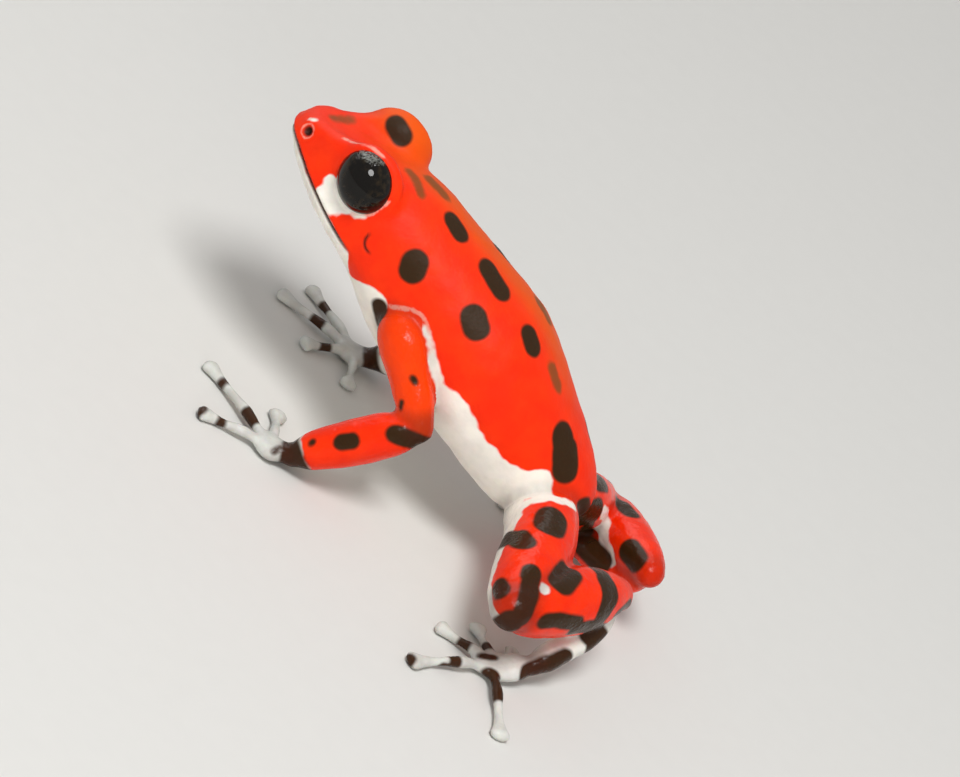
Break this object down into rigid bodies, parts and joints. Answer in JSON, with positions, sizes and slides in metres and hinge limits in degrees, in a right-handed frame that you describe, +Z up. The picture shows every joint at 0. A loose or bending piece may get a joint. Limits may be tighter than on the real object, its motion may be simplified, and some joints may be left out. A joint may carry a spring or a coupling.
{
  "type": "strawberry poison dart frog model",
  "caption": "Small red frog with black spots sitting up on its four feet, head raised, hind legs folded; a still, life-size model with separate glossy eyes.",
  "frame": {"origin": "middle of the bounding box, on the floor that the feet rest on", "axes": "+Z up; the frog faces -Y, so +Y points to its rear and +X to its own left"},
  "size_m": [0.0212, 0.0242, 0.0127],
  "materials": {
    "skin_red": "moist, finely granular red-orange skin with black-brown spots and a pale belly",
    "skin_pale": "moist grey-white skin with dark brown bands",
    "eye_black": "glossy black"
  },
  "bodies": {
    "root": {"head": "skin_red", "trunk": "skin_red", "upper_arm_left": "skin_red", "upper_arm_right": "skin_red", "forearm_left": "skin_red", "forearm_right": "skin_red", "thigh_left": "skin_red", "thigh_right": "skin_red", "shank_left": "skin_red", "shank_right": "skin_red", "tarsus_left": "skin_red", "tarsus_right": "skin_red", "hand_left": "skin_pale", "hand_right": "skin_pale", "foot_left": "skin_pale", "foot_right": "skin_pale", "eye_left": "eye_black", "eye_right": "eye_black"}
  },
  "joints": []
}
